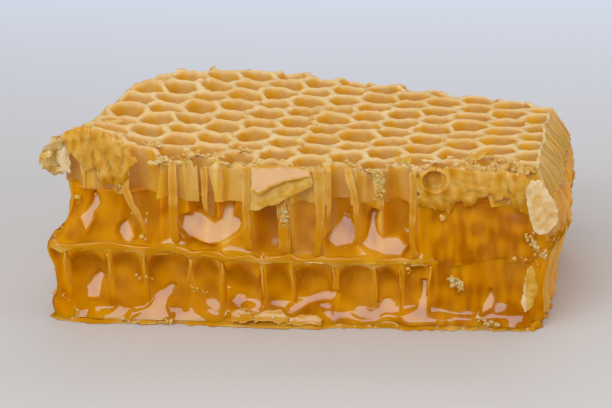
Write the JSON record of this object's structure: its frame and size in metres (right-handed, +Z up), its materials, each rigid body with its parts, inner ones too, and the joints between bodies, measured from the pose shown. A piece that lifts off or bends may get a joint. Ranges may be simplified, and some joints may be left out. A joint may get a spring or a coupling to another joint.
{
  "type": "cut piece of honeycomb",
  "caption": "Cut block of double-sided wax honeycomb filled with honey, open hexagonal cells on top and cut-open cells, midrib and torn wax at the sides.",
  "frame": {"origin": "centre of the foot, under the middle of the whole piece", "axes": "+Z up through the cell mouths; the long front cut faces -Y; +X along it to the right"},
  "size_m": [0.0684, 0.054, 0.0258],
  "materials": {
    "dry_wax": "dry translucent beeswax, cream rims and tan walls",
    "wet_wax": "thin wax soaked and coated with honey",
    "honey": "clear amber honey with a wet gloss",
    "scrap_wax": "thin torn wax, pale and see-through at its edges"
  },
  "bodies": {
    "root": {"cappings_lower": "wet_wax", "honey_lower": "honey", "midrib": "wet_wax", "honey_upper": "honey", "cells_open": "dry_wax", "wax_curl": "scrap_wax", "torn_flap": "scrap_wax", "corner_flake": "scrap_wax", "foot_flake": "scrap_wax"}
  },
  "joints": []
}
